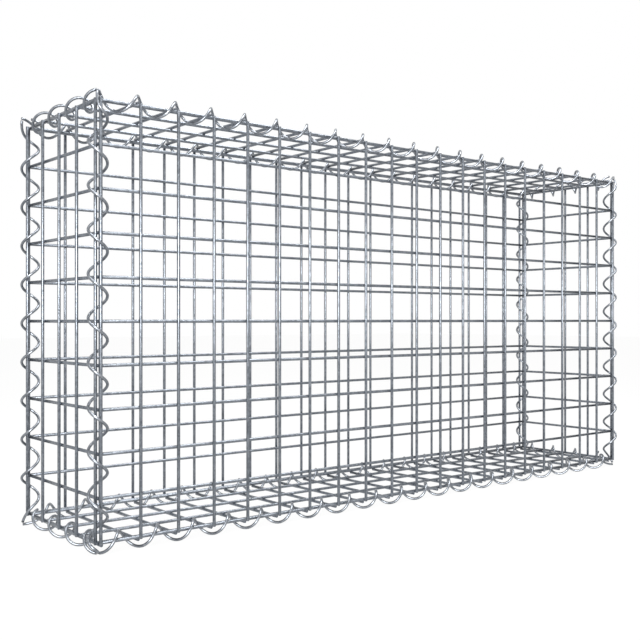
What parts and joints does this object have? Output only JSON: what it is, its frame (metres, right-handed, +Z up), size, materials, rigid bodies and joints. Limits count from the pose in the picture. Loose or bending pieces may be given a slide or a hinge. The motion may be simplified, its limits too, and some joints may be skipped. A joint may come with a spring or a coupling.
{
  "type": "gabion basket",
  "caption": "Empty box-shaped gabion basket of welded square wire mesh, its flat panels laced together along every edge by wire spirals; holds stone fill for walls.",
  "frame": {"origin": "on the ground, under the middle of the basket", "axes": "+X along the length, +Y from the front panel to the back, +Z up"},
  "size_m": [1.0258, 0.223, 0.527],
  "materials": {
    "mesh_wire": "galvanised, satin",
    "spiral_wire": "galvanised, satin"
  },
  "bodies": {
    "root": {"front_panel": "mesh_wire", "back_panel": "mesh_wire", "left_panel": "mesh_wire", "right_panel": "mesh_wire", "base_panel": "mesh_wire", "lid_panel": "mesh_wire", "spiral_front_left": "spiral_wire", "spiral_front_right": "spiral_wire", "spiral_back_left": "spiral_wire", "spiral_back_right": "spiral_wire", "spiral_top_front": "spiral_wire", "spiral_top_back": "spiral_wire", "spiral_bottom_front": "spiral_wire", "spiral_bottom_back": "spiral_wire", "spiral_top_left": "spiral_wire", "spiral_top_right": "spiral_wire", "spiral_bottom_left": "spiral_wire", "spiral_bottom_right": "spiral_wire"}
  },
  "joints": []
}
